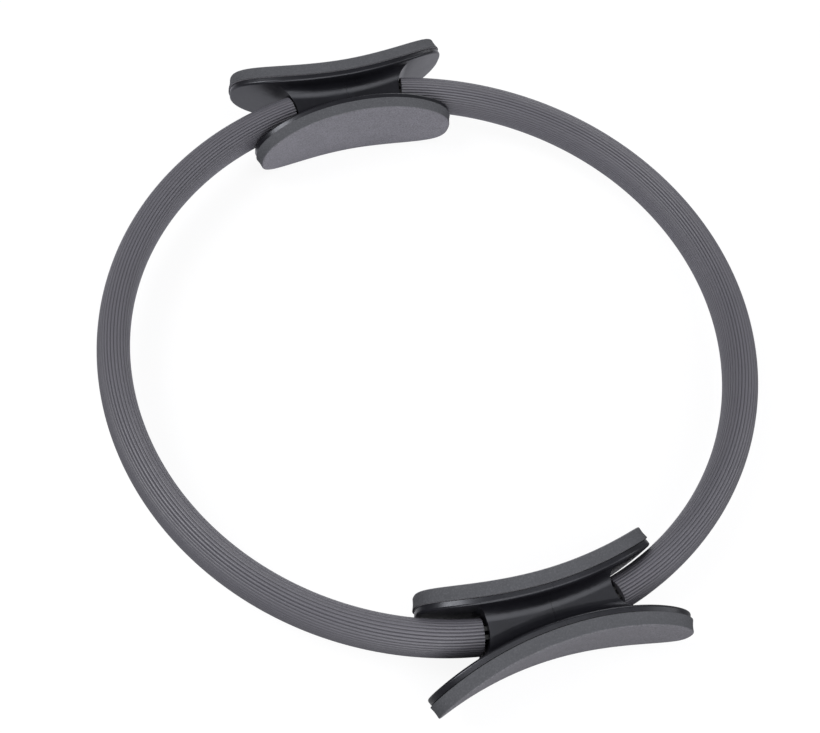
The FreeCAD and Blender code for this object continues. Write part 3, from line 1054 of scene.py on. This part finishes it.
@dataclass
class FoamPad:
    """A die-cut foam pad, bent over a flange of its grip."""

    end: GripEnd
    place: PadPlace
    path: RingPath
    finish: FoamFinish
    outer_length: float = 146.0 * MILLIMETRE
    inner_length: float = 133.0 * MILLIMETRE
    width: float = 56.0 * MILLIMETRE
    thickness: float = 7.3 * MILLIMETRE
    fullness: float = 2.6
    bend_radius: float = 192.0 * MILLIMETRE
    bend_centre: float = 202.8 * MILLIMETRE
    glue_film: float = 0.3 * MILLIMETRE
    grip_inset: float = 4.005 * MILLIMETRE
    palm_rounding: float = 0.7 * MILLIMETRE
    glue_rounding: float = 0.35 * MILLIMETRE
    side_hollow: float = 0.22 * MILLIMETRE
    crown: float = 0.25 * MILLIMETRE
    crown_power: int = 4
    even_band: float = 7.0 * MILLIMETRE
    ring_crowding: float = 1.6
    outline_steps: int = 320
    face_rings: int = 22
    side_rings: int = 9
    corner_rings: int = 5

    @property
    def length(self) -> float:
        """Length of this pad along its bend."""
        return self.outer_length if self.place is PadPlace.OUTER else self.inner_length

    def _profile(self) -> list[tuple[float, float, float]]:
        """Section from the palm face's middle, over the cut side, to the glued face's middle.

        Returns:
            For each ring of points, its distance in from the outline, its height over the glued
            face, and how much it looks like the cut side.
        """
        half = self.width / 2
        low = self.glue_rounding
        shoulder = self.thickness - self.crown
        high = shoulder - self.palm_rounding
        on_face = [step / self.face_rings for step in range(1, self.face_rings)]
        on_side = [step / self.side_rings for step in range(1, self.side_rings)]
        on_corner = [step / self.corner_rings for step in range(self.corner_rings + 1)]
        rows: list[tuple[float, float, float]] = []
        for share in on_face:
            inset = half - (half - self.palm_rounding) * (1 - (1 - share) ** self.ring_crowding)
            rise = self.crown * (1 - ((half - inset) / half) ** self.crown_power)
            rows.append((inset, shoulder + rise, 0.0))
        for share in on_corner:
            turn = math.pi / 2 * share
            rows.append((self.palm_rounding * (1 - math.sin(turn)),
                         shoulder - self.palm_rounding * (1 - math.cos(turn)), share))
        for share in on_side:
            rows.append((self.side_hollow * math.sin(math.pi * share), high + (low - high) * share, 1.0))
        for share in on_corner:
            turn = math.pi / 2 * share
            rows.append((low * (1 - math.cos(turn)), low * (1 - math.sin(turn)), 1.0))
        for share in on_face:
            rows.append((low + (half - low) * share ** self.ring_crowding, 0.0, 0.0))
        return rows

    def _point(self, turn: float, inset: float, height: float) -> Vector:
        """A point of the pad in the grip's own axes.

        Args:
            turn: Angle round the outline.
            inset: Distance in from the outline.
            height: Height over the glued face.

        Returns:
            The point.
        """
        power = 2.0 / self.fullness
        half_width = self.width / 2
        reach = self.length / 2 - inset
        if inset >= self.even_band:
            reach = (self.length / 2 - self.even_band) * (half_width - inset) / (half_width - self.even_band)
        across = (half_width - inset) * signed_power(math.sin(turn), power)
        along = reach * signed_power(math.cos(turn), power)
        radius = self.bend_radius - self.glue_film - height
        bend = along / self.bend_radius
        outward = self.bend_centre - radius * math.cos(bend)
        return Vector((radius * math.sin(bend), self.place.sign * outward, across))

    def _mesh(self, name: str) -> bpy.types.Mesh:
        """Closed mesh of the pad, with its cut side marked.

        Args:
            name: Name of the mesh.

        Returns:
            The mesh, in its place on the ring.
        """
        axes = self.path.axes(self.end)
        origin = self.end.direction * self.path.radius - axes.col[1] * self.grip_inset
        work = bmesh.new()
        cut_layer = work.verts.layers.float.new(SurfaceMark.CUT_SIDE.value)
        rings = []
        for inset, height, cut in self._profile():
            ring = []
            for step in range(self.outline_steps):
                turn = math.tau * step / self.outline_steps
                vert = work.verts.new(origin + axes @ self._point(turn, inset, height))
                vert[cut_layer] = cut
                ring.append(vert)
            rings.append(ring)
        for first, second in zip(rings, rings[1:]):
            self._bridge(work, first, second)
        for ring, height in ((rings[0], self.thickness), (rings[-1], 0.0)):
            pole = work.verts.new(origin + axes @ self._point(0.0, self.width / 2, height))
            for one, two in zip(ring, ring[1:] + ring[:1]):
                work.faces.new((pole, one, two))
        bmesh.ops.recalc_face_normals(work, faces=work.faces)
        for face in work.faces:
            face.smooth = True
        mesh = bpy.data.meshes.new(name)
        work.to_mesh(mesh)
        work.free()
        return mesh

    @staticmethod
    def _bridge(work: bmesh.types.BMesh, first: Sequence[bmesh.types.BMVert],
                second: Sequence[bmesh.types.BMVert]) -> None:
        """Join two rings of points with faces.

        Args:
            work: The mesh being made.
            first: Points of one ring.
            second: Points of the next ring.
        """
        for index, corner in enumerate(first):
            after = (index + 1) % len(first)
            work.faces.new((corner, first[after], second[after], second[index]))

    def build(self) -> bpy.types.Object:
        """Build the pad, dress it and set it on its grip.

        Returns:
            The finished piece.
        """
        name = f"{self.end.value}_{self.place.value}_foam_pad"
        piece = show(name, self._mesh(name))
        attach(piece, self.end.body)
        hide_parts(f"{self.end.value}_{self.place.value}_pad")
        self.finish.dress(piece)
        return piece


@dataclass
class Grip:
    """One grip: two moulded halves, their splice plate and screws, and two foam pads."""

    end: GripEnd
    path: RingPath
    housing: HousingFinish
    foam: FoamFinish
    steel: SteelFinish
    large_face_weight: int = 70

    def _halves(self) -> list[bpy.types.Object]:
        """Smooth copies of the moulded halves.

        Returns:
            The two pieces.
        """
        pieces = []
        for side in RingSide:
            node = f"{self.end.value}_{side.value}_housing"
            piece = SolidCopy().build(node, f"{self.end.value}_{side.value}_moulded_half")
            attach(piece, self.end.body)
            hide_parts(node)
            self.housing.dress(piece)
            weighted = piece.modifiers.new("even_shading", "WEIGHTED_NORMAL")
            weighted.keep_sharp = True
            weighted.weight = self.large_face_weight
            pieces.append(piece)
        return pieces

    def _metal(self) -> None:
        """Dress the steel that stays as the CAD made it."""
        for part in ("splice_plate", "leaf_screws"):
            self.steel.dress(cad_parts[f"{self.end.value}_{part}"])

    def build(self) -> list[bpy.types.Object]:
        """Build and dress the whole grip.

        Returns:
            Its new pieces.
        """
        pieces = self._halves()
        self._metal()
        for place in PadPlace:
            pieces.append(FoamPad(self.end, place, self.path, self.foam).build())
        return pieces


@dataclass(frozen=True)
class SoftLight:
    """A large soft lamp, aimed at the ring's centre."""

    name: str
    place: Place
    width: float
    power: float

    def build(self) -> None:
        """Hang the lamp."""
        lamp = bpy.data.lights.new(self.name, "AREA")
        lamp.shape = "DISK"
        lamp.size = self.width
        lamp.energy = self.power
        holder = show(self.name, lamp)
        holder.location = self.place
        aim = Vector(CENTRE) - Vector(self.place)
        holder.rotation_euler = aim.to_track_quat("-Z", "Y").to_euler()


@dataclass
class Studio:
    """White floor, soft lamps, plain surroundings and the camera."""

    eye: Place = (-0.17204, -0.29759, 0.54533)
    right: Place = (0.94361, -0.31556, 0.10010)
    above: Place = (0.22886, 0.84028, 0.49148)
    lens: float = 48.769
    sensor: float = 36.0
    nearest: float = 10.0 * MILLIMETRE
    floor_size: float = 12.0
    floor_gap: float = 0.2 * MILLIMETRE
    surround: float = 0.20
    backdrop: float = 1.0
    lamps: list[SoftLight] = field(default_factory=lambda: [
        SoftLight("key_softbox", (-0.85, 0.22, 1.33), 0.8, 15.5),
        SoftLight("front_softbox", (0.20, -0.62, 1.10), 1.1, 7.8),
        SoftLight("low_front_softbox", (-0.40, -1.34, 0.60), 0.9, 7.0),
        SoftLight("right_softbox", (1.30, -0.40, 0.75), 0.9, 4.0),
        SoftLight("back_softbox", (0.9, 1.2, 0.6), 0.8, 5.5),
    ])

    def camera(self) -> None:
        """Set the camera where the photograph was taken."""
        data = bpy.data.cameras.new("camera")
        data.sensor_width = self.sensor
        data.lens = self.lens
        data.clip_start = self.nearest
        holder = show("camera", data)
        right = Vector(self.right).normalized()
        above = (Vector(self.above) - right * right.dot(Vector(self.above))).normalized()
        turn = Matrix((right, above, right.cross(above))).transposed().to_4x4()
        holder.matrix_world = Matrix.Translation(self.eye) @ turn
        bpy.context.scene.camera = holder

    def surroundings(self) -> None:
        """Even, dim light from all round, white where the camera looks past the floor."""
        world = bpy.data.worlds.new("surroundings")
        world.use_nodes = True
        world.node_tree.nodes.clear()
        bench = NodeBench(world.node_tree)
        camera = bench.node("ShaderNodeLightPath", output="Is Camera Ray")
        even = bench.node("ShaderNodeBackground", values={"Color": WHITE, "Strength": self.surround})
        white = bench.node("ShaderNodeBackground", values={"Color": WHITE, "Strength": self.backdrop})
        bench.node("ShaderNodeOutputWorld", values={"Surface": bench.mix_shaders(camera, even, white)})
        bpy.context.scene.world = world

    def floor(self, level: float) -> None:
        """Lay the floor under the ring.

        Args:
            level: Height of the floor.
        """
        half = self.floor_size / 2
        mesh = bpy.data.meshes.new("floor")
        corners = [(-half, -half, level), (half, -half, level), (half, half, level), (-half, half, level)]
        mesh.from_pydata(corners, [], [(0, 1, 2, 3)])
        piece = show("floor", mesh)
        FloorFinish().dress(piece)
        piece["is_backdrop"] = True

    def build(self, level: float) -> None:
        """Set up everything round the object.

        Args:
            level: Height of the object's lowest point.
        """
        self.camera()
        self.surroundings()
        self.floor(level - self.floor_gap)
        for lamp in self.lamps:
            lamp.build()
        bpy.context.scene.view_settings.view_transform = "Standard"


@dataclass
class ExerciseRing:
    """The whole ring: two sleeved halves with their leaves, and two grips."""

    path: RingPath = field(default_factory=RingPath)
    sleeve: SleeveFinish = field(default_factory=SleeveFinish)
    leaf: LeafFinish = field(default_factory=LeafFinish)
    housing: HousingFinish = field(default_factory=HousingFinish)
    foam: FoamFinish = field(default_factory=FoamFinish)
    steel: SteelFinish = field(default_factory=SteelFinish)

    def build(self) -> Iterator[bpy.types.Object]:
        """Build every piece in turn.

        Returns:
            The new pieces, one after another.
        """
        for side in RingSide:
            yield RibbedSleeve(side, self.path, self.sleeve).build()
            for place in LeafPlace:
                yield SpringLeaf(side, place, self.path, self.leaf).build()
        for end in GripEnd:
            yield from Grip(end, self.path, self.housing, self.foam, self.steel).build()


def main() -> None:
    """Build the ring and its studio."""
    logging.basicConfig(level=logging.INFO, format="%(message)s")
    solid_low, solid_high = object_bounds()
    for piece in ExerciseRing().build():
        LOG.info("built %s with %d faces", piece.name, len(piece.data.polygons))
    Studio().build(solid_low.z)
    LOG.info("sizes written")


if __name__ == "__main__":
    main()
